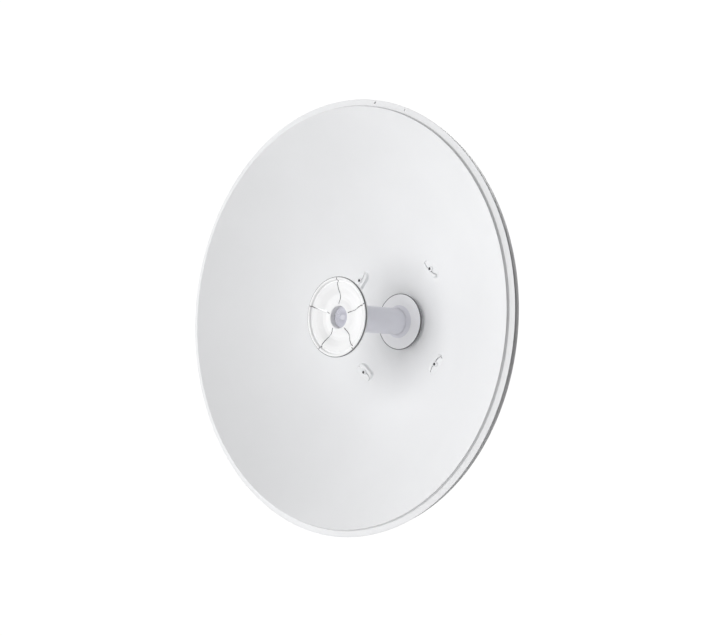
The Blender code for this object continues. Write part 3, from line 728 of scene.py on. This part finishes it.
def make_tip():
    """The feed's tip in the cup's hole: fine flutes run from its rim in to a flat middle."""
    columns, flutes = 288, 24
    turns = np.linspace(0, 2 * math.pi, columns, endpoint=False)
    wave = 0.5 + 0.5 * np.cos(turns * flutes)
    radii = [0.0002, 0.0030, 0.0042, 0.0050, 0.0065, 0.0090, 0.0115, 0.0140, 0.0155, 0.0160, 0.0166]
    rows = []
    for radius in radii:
        swell = smooth_step((radius - 0.0042) / 0.0012) * smooth_step((0.0160 - radius) / 0.0008)
        y = TIP_Y + 0.0014 + 0.0013 * wave * swell
        rows.append(np.stack([radius * np.sin(turns), y, radius * np.cos(turns)], axis=-1))
    back = high("feed_tip").y
    tail = [(0.0166, TIP_Y + 0.0028), (0.0182, TIP_Y + 0.0032), (0.0182, back), (0.0002, back)]
    points = np.concatenate([np.array(rows), ring_points(tail, columns)])
    tip = grid_object("feed_tip_skin", points, TIP_WHITE, cap_ends=True)
    placed(tip, "feed_slide", ["feed_tip"])


# Rear housing and its cover


def make_housing():
    """The rear housing: a turned shell with a flange, a hole for the button and two ears for the cover."""
    back = -0.1000
    flange_back = -0.1403
    profile = [
        (0.0340, -0.1535),
        (0.0480, -0.1535),
        (0.0480, -0.1515),
        (0.0430, -0.1500),
        (0.0430, -0.1450),
        (0.0560, -0.1445),
        (0.0560, flange_back),
        (0.0430, flange_back),
        (0.0425, -0.1385),
        (0.0420, -0.1060),
        (0.0370, back),
        (0.0125, back),
        (0.0125, -0.1026),
        (0.0360, -0.1026),
        (0.0394, -0.1070),
        (0.0394, -0.1450),
        (0.0340, -0.1470),
    ]
    points = ring_points(rounded(profile, 0.0009, 3), 240)
    housing = grid_object("housing_shell", points, HOUSING_WHITE, wrap_rows=True)
    bore_place = (0, middle("release_button").y, -0.0420)
    subtract(housing, [cylinder_tool("button_bore", 0.0064, 0.0200, bore_place, Matrix(), 40)])
    ears = [ear_piece(side) for side in (-1, 1)]
    placed(housing, "dish_side", ["rear_housing"])
    for ear in ears:
        placed(ear, "dish_side", [])


def ear_piece(side):
    """A rounded ear that carries the cover's pin."""
    axis_y, axis_z = middle("cover_pin").y, middle("cover_pin").z
    ear_r, bore_r = 0.0031, 0.0015
    outline = [(-0.1012, 0.0165), (-0.1012, 0.0240), (-0.0985, 0.0240)]
    for i in range(9):
        angle = math.radians(100 - 190 * i / 8)
        outline.append((axis_y + ear_r * math.cos(angle), axis_z + ear_r * math.sin(angle)))
    outline += [(-0.0985, 0.0165)]
    bore = [
        (axis_y + bore_r * math.cos(t), axis_z + bore_r * math.sin(t))
        for t in np.linspace(0, 2 * math.pi, 20, endpoint=False)
    ]
    upright = Matrix(((0, 0, 1, 0), (1, 0, 0, 0), (0, 1, 0, 0), (0, 0, 0, 1)))
    place = Matrix.Translation((side * 0.0130, 0, 0)) @ upright
    word = "left" if side < 0 else "right"
    return flat_outline(f"cover_ear_{word}", [outline, bore], 0.0040, HOUSING_WHITE, place)


def cylinder_tool(name, radius, length, place, turn, sides):
    """A round cutter, along Z before its turn."""
    shape = bmesh.new()
    size = {"radius1": radius, "radius2": radius, "depth": length}
    matrix = Matrix.Translation(place) @ turn
    bmesh.ops.create_cone(shape, cap_ends=True, segments=sides, matrix=matrix, **size)
    mesh = bpy.data.meshes.new(name)
    shape.to_mesh(mesh)
    shape.free()
    obj = bpy.data.objects.new(name, mesh)
    bpy.context.scene.collection.objects.link(obj)
    return obj


def subtract(obj, tools):
    """Cuts the tools out of a piece and removes them."""
    for tool in tools:
        cut = obj.modifiers.new(tool.name, "BOOLEAN")
        cut.operation = "DIFFERENCE"
        cut.solver = "EXACT"
        cut.object = tool
    apply_modifiers(obj)
    for tool in tools:
        bpy.data.objects.remove(tool, do_unlink=True)


# Fasteners


def hexagon_ring(flat_r, top):
    """Points round a hexagon, lower at its corners where a 30 degree chamfer would cut them."""
    chamfer = 0.577
    ring = []
    for i in range(RING_STEPS):
        angle = 2 * math.pi * i / RING_STEPS
        within = (angle + math.pi / 6) % (math.pi / 3) - math.pi / 6
        radius = flat_r / math.cos(within)
        ring.append((radius * math.cos(angle), radius * math.sin(angle), top - chamfer * (radius - flat_r)))
    return ring


def hex_rings(flat_r, height):
    """Side and chamfered top of a hexagon head, from its under side up."""
    under = [(x, y, 0.0002) for x, y, _ in hexagon_ring(flat_r, 0.0)]
    inset = [(x * 0.985, y * 0.985, 0.0) for x, y, _ in hexagon_ring(flat_r, 0.0)]
    return [inset, under, hexagon_ring(flat_r, height), round_ring(flat_r * 0.97, height)]


def round_ring(radius, height):
    """Points round a circle at this height."""
    angles = [2 * math.pi * i / RING_STEPS for i in range(RING_STEPS)]
    return [(radius * math.cos(angle), radius * math.sin(angle), height) for angle in angles]


def thread_rings(radius, start, end, pitch):
    """A threaded length: rings whose radius follows a helix, fading out at both ends."""
    depth, per_turn = 0.55 * pitch, 5
    steps = max(2, round(abs(end - start) / pitch * per_turn))
    rings = []
    for step in range(steps + 1):
        height = start + (end - start) * step / steps
        fade = min(1.0, step / per_turn, (steps - step) / per_turn)
        ring = []
        for i in range(RING_STEPS):
            phase = (height / pitch - i / RING_STEPS) % 1.0
            cut = depth * fade * (1 - abs(2 * phase - 1))
            angle = 2 * math.pi * i / RING_STEPS
            ring.append(((radius - cut) * math.cos(angle), (radius - cut) * math.sin(angle), height))
        rings.append(ring)
    return rings


def ring_object(name, rings, material, place, cap_ends=True, wrap_rows=False):
    """A piece from rings round the Z axis, moved to its place."""
    points = np.array(rings, float)
    turn = np.array(place.to_3x3())
    points = points @ turn.T + np.array(place.translation)
    return grid_object(name, points, material, wrap_rows=wrap_rows, cap_ends=cap_ends, smooth_angle=28)


def facing(direction, point):
    """A place matrix whose Z axis points along a direction."""
    turn = Vector((0, 0, 1)).rotation_difference(Vector(direction)).to_matrix().to_4x4()
    return Matrix.Translation(point) @ turn


def bolt_rings(length, plain):
    """An M8 hexagon bolt: its head above the origin, its shank down to -length."""
    head = list(reversed(hex_rings(M8["flat_r"], M8_HEAD)))
    shank = [round_ring(M8_SHANK_R, 0.0)]
    if plain:
        shank.append(round_ring(M8_SHANK_R, -plain))
    shank += thread_rings(M8_SHANK_R, -plain - 0.0002, -length + 0.0008, M8_PITCH)
    shank.append(round_ring(M8_SHANK_R * 0.82, -length))
    return head + shank


def make_bolt(node, direction, head_point, length, plain=0.0):
    """A bolt of the pole side over its CAD node, with a plain length under its head."""
    bolt = ring_object(f"{node}_hex", bolt_rings(length, plain), STAINLESS, facing(direction, head_point))
    placed(bolt, "pole_side", [node])


def make_nut(node, direction, body, flat_r, bore_r, height):
    """A nut over its CAD node, chamfered on the side that faces away."""
    centre = middle(node)
    place = facing(direction, centre - Vector(direction) * height / 2)
    rings = hex_rings(flat_r, height)
    rings.append(round_ring(bore_r * 1.12, height))
    rings.append(round_ring(bore_r, height - 0.0006))
    rings.append(round_ring(bore_r, 0.0006))
    rings.append(round_ring(bore_r * 1.12, 0.0))
    nut = ring_object(f"{node}_hex", rings, STAINLESS, place, cap_ends=False, wrap_rows=True)
    placed(nut, body, [node])


def make_fasteners():
    """The hexagon bolts with their nuts, the dish bolts and the housing screws."""
    for word, side in (("left", -1), ("right", 1)):
        for kind in ("pivot", "lock"):
            node = f"{kind}_bolt_{word}"
            a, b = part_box(node)
            outer, inner = (b.x, a.x) if side > 0 else (a.x, b.x)
            under = outer - side * M8_HEAD
            point = Vector((under, middle(node).y, middle(node).z))
            make_bolt(node, (side, 0, 0), point, abs(under) - abs(inner))
            make_nut(f"{kind}_nut_{word}", (-side, 0, 0), "pole_side", **M8)
        node = f"clamp_bolt_{word}"
        a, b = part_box(node)
        point = Vector((middle(node).x, a.y + M8_HEAD, 0))
        make_bolt(node, (0, -1, 0), point, b.y - point.y, plain=CLAMP_BOLT_PLAIN)
        make_nut(f"clamp_nut_{word}", (0, 1, 0), "jaw_slide", **M8)
    for number in range(1, 5):
        make_dish_bolt(number)
        make_nut(f"dish_nut_{number}", (0, 1, 0), "dish_side", **M6)
        make_pan_screw(number)


def make_dish_bolt(number):
    """A low round head with a hexagon socket painted near-black as shade, and its threaded shank."""
    node = f"dish_bolt_{number}"
    a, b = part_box(node)
    under = a.y + 0.0022
    place = facing((0, -1, 0), Vector((middle(node).x, under, middle(node).z)))
    socket_r = 0.0022
    socket = [round_ring(0.0004, 0.0003)]
    for height in (0.0004, 0.0021):
        socket.append([(x, y, height) for x, y, _ in hexagon_ring(socket_r, 0.0)])
    dome = [round_ring(0.0031, 0.0021), round_ring(0.0039, 0.0016), round_ring(0.0044, 0.0008)]
    dome += [round_ring(0.0044, 0.0), round_ring(0.0030, 0.0)]
    shank = thread_rings(0.0030, -0.0040, -(b.y - under) + 0.0006, 0.0010)
    tail = [round_ring(0.0024, -(b.y - under))]
    bolt = ring_object(f"{node}_head", socket + dome + shank + tail, COAT, place)
    # Painted shade: the socket's faces take the near-black material, standing in for the shade in the
    # recess.
    bolt.data.materials.append(SOCKET_SHADE)
    centre = Vector((middle(node).x, middle(node).z))
    for face in bolt.data.polygons:
        near = (Vector((face.center.x, face.center.z)) - centre).length < socket_r + 0.0001
        if near and face.center.y < under:
            face.material_index = 1
    placed(bolt, "dish_side", [node])


def make_pan_screw(number):
    """A pan head screw with a cross recess."""
    node = f"housing_screw_{number}"
    a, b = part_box(node)
    under = b.y - 0.0024
    place = facing((0, 1, 0), Vector((middle(node).x, under, middle(node).z)))
    cross = []
    for height, scale in ((0.0004, 0.35), (0.0022, 1.0)):
        ring = []
        for i in range(RING_STEPS):
            angle = 2 * math.pi * i / RING_STEPS
            lobe = 0.5 + 0.5 * math.cos(4 * angle)
            radius = (0.0006 + 0.0013 * lobe**3) * scale
            ring.append((radius * math.cos(angle), radius * math.sin(angle), height))
        cross.append(ring)
    head = [round_ring(0.0024, 0.0023), round_ring(0.0032, 0.0016), round_ring(0.0036, 0.0006)]
    head += [round_ring(0.0036, 0.0), round_ring(0.0018, 0.0)]
    shank = thread_rings(0.0018, -0.0004, a.y - under + 0.0004, 0.0007)
    tail = [round_ring(0.0012, a.y - under)]
    screw = ring_object(f"{node}_head", cross + head + shank + tail, STAINLESS, place)
    placed(screw, "dish_side", [node])


def make_spring():
    """The button's return spring: a coil of four turns rising through the spring's box."""
    a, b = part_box("button_spring")
    axis_y, wire_r, turns, steps = middle("button_spring").y, 0.0005, 4, 30
    reach, rise = b.x - wire_r, b.z - a.z - 2 * wire_r
    angles = [2 * math.pi * k / 10 for k in range(10)]
    ring = [(wire_r * math.cos(angle), wire_r * math.sin(angle)) for angle in angles]
    rows = []
    for i in range(turns * steps + 1):
        angle = 2 * math.pi * i / steps
        out = Vector((math.cos(angle), math.sin(angle), 0.0))
        heart = Vector((0.0, axis_y, a.z + wire_r + rise * i / (turns * steps))) + out * reach
        rows.append([heart + out * outward + Vector((0, 0, along)) for outward, along in ring])
    spring = grid_object("spring_coil", np.array(rows), STAINLESS, cap_ends=True)
    placed(spring, "dish_side", ["button_spring"])
    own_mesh(spring)


# CAD nodes that show as they are


def soften(node, width):
    """Rounds a CAD node's sharp edges with a modifier."""
    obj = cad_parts[node]
    edge = obj.modifiers.new("edges", "BEVEL")
    edge.width = width
    edge.segments = 2
    edge.limit_method = "ANGLE"
    edge.angle_limit = math.radians(35)


def dress_nodes():
    """Gives every CAD node its material, and smooth shading between sharp edges."""
    finishes = {
        "dish_bracket": ZINC,
        "pole_bracket": ZINC,
        "clamp_jaw": ZINC,
        "latch_guide": ZINC,
        "port_cover": HOUSING_WHITE,
        "release_button": GREY,
        "level_body": GREY,
        "feed_end_cap": GREY,
        "network_jack": GREY,
        "level_vial": VIAL,
        "housing_seal": RUBBER,
        "feed_seal": RUBBER,
        "radio_board": BOARD,
        "shield_can": ALUMINIUM,
        "heat_spreader": ALUMINIUM,
        "feed_horn": ALUMINIUM,
        "subreflector_disc": ALUMINIUM,
    }
    for name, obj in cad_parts.items():
        finish = finishes.get(name, STAINLESS)
        obj.data.materials.clear()
        obj.data.materials.append(finish)
        obj.data.shade_smooth()
        obj.data.set_sharp_from_angle(angle=math.radians(30))
    for node, width in (("level_body", 0.0006), ("network_jack", 0.0004), ("heat_spreader", 0.0004)):
        soften(node, width)
    for node in ("dish_bracket", "pole_bracket", "clamp_jaw", "latch_guide"):
        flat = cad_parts[node].modifiers.new("flat_faces", "WEIGHTED_NORMAL")
        flat.keep_sharp = True


# Stage, light and camera


def plain_material(name, colour, roughness):
    """A plain matt material with a faint unevenness of tone."""
    m = Nodes(name, colour, roughness)
    dark, light = shades(colour, 0.004)
    m.colour(m.ramp(m.noise(1.5, 2.0), [(0.3, dark), (0.7, light)]))
    return m.made


def make_stage():
    """A wide round floor, well below the dish."""
    turns, height = 96, -1.15
    angles = [2 * math.pi * i / turns for i in range(turns)]
    shape = bmesh.new()
    centre = shape.verts.new((0, 0, height))
    rings = []
    for radius in (0.5, 1.0, 1.5, 2.0, 2.4, 2.7):
        ring = [(radius * math.cos(angle), radius * math.sin(angle), height) for angle in angles]
        rings.append([shape.verts.new(point) for point in ring])
    for i in range(turns):
        shape.faces.new((centre, rings[0][i], rings[0][(i + 1) % turns]))
    for inner, outer in zip(rings, rings[1:]):
        for i in range(turns):
            j = (i + 1) % turns
            shape.faces.new((inner[i], outer[i], outer[j], inner[j]))
    bmesh.ops.recalc_face_normals(shape, faces=shape.faces)
    mesh = bpy.data.meshes.new("floor")
    shape.to_mesh(mesh)
    shape.free()
    floor = finish_object("floor", mesh, plain_material("floor_white", (0.66, 0.66, 0.66), 0.9), 80)


def soft_box(name, offset, size, power):
    """A rectangular light at an offset from the rim's centre, aimed at that centre."""
    light = bpy.data.lights.new(name, "AREA")
    light.shape = "RECTANGLE"
    light.size, light.size_y = size
    light.energy = power
    obj = bpy.data.objects.new(name, light)
    bpy.context.scene.collection.objects.link(obj)
    obj.location = Vector((0, RIM_Y, 0)) + Vector(offset)
    obj.rotation_euler = (-Vector(offset)).to_track_quat("-Z", "Y").to_euler()
    obj.visible_camera = False


def camera_axes():
    """The camera's right, up and backward directions."""
    level = math.cos(CAMERA_ELEVATION)
    back_x, back_y = math.sin(CAMERA_AZIMUTH), -math.cos(CAMERA_AZIMUTH)
    back = Vector((back_x * level, back_y * level, math.sin(CAMERA_ELEVATION)))
    right = Vector((-back_y, back_x, 0.0))
    up = back.cross(right)
    cosine, sine = math.cos(CAMERA_ROLL), math.sin(CAMERA_ROLL)
    return right * cosine + up * sine, up * cosine - right * sine, back


def make_lights():
    """A white backdrop, surroundings bright on one side and dim on the other, and two soft boxes."""
    world = bpy.data.worlds.new("studio")
    bpy.context.scene.world = world
    world.use_nodes = True
    nodes, links = world.node_tree.nodes, world.node_tree.links
    background = nodes["Background"]
    background.inputs["Color"].default_value = (1.0, 1.0, 1.0, 1.0)
    place = nodes.new("ShaderNodeTexCoord")
    toward = nodes.new("ShaderNodeVectorMath")
    toward.operation = "DOT_PRODUCT"
    toward.inputs[1].default_value = BRIGHT_SIDE
    fade = nodes.new("ShaderNodeMapRange")
    fade.interpolation_type = "SMOOTHSTEP"
    for socket, value in (("From Min", -0.06), ("From Max", 0.62), ("To Min", 0.03), ("To Max", 1.10)):
        fade.inputs[socket].default_value = value
    links.new(place.outputs["Generated"], toward.inputs[0])
    links.new(toward.outputs["Value"], fade.inputs["Value"])
    links.new(fade.outputs["Result"], background.inputs["Strength"])
    backdrop = nodes.new("ShaderNodeBackground")
    backdrop.inputs["Color"].default_value = (1.0, 1.0, 1.0, 1.0)
    backdrop.inputs["Strength"].default_value = 1.05
    seen = nodes.new("ShaderNodeLightPath")
    either = nodes.new("ShaderNodeMixShader")
    links.new(seen.outputs["Is Camera Ray"], either.inputs["Fac"])
    links.new(background.outputs["Background"], either.inputs[1])
    links.new(backdrop.outputs["Background"], either.inputs[2])
    links.new(either.outputs["Shader"], nodes["World Output"].inputs["Surface"])
    soft_box("soft_box", (0.05, -2.50, 0.20), (1.8, 2.4), 51.0)
    soft_box("rear_box", (-1.30, 2.60, 0.90), (1.6, 1.6), 20.0)


def make_camera():
    """The camera at the photograph's viewing angle."""
    right, up, back = camera_axes()
    place = Vector((0, RIM_Y, 0)) + back * CAMERA_DISTANCE + right * CAMERA_ASIDE + up * CAMERA_RAISE
    data = bpy.data.cameras.new("camera")
    data.sensor_width = SENSOR_WIDTH
    data.sensor_fit = "HORIZONTAL"
    data.lens = LENS
    data.clip_end = 60.0
    camera = bpy.data.objects.new("camera", data)
    bpy.context.scene.collection.objects.link(camera)
    turn = Matrix((right, up, back)).transposed().to_4x4()
    camera.matrix_world = Matrix.Translation(place) @ turn
    bpy.context.scene.camera = camera


def build():
    dress_nodes()
    make_reflector()
    make_cup()
    make_cone()
    make_tube()
    make_base()
    make_tip()
    make_housing()
    make_fasteners()
    make_spring()
    make_stage()
    make_lights()
    make_camera()
    bpy.context.scene.view_settings.view_transform = "Standard"


build()
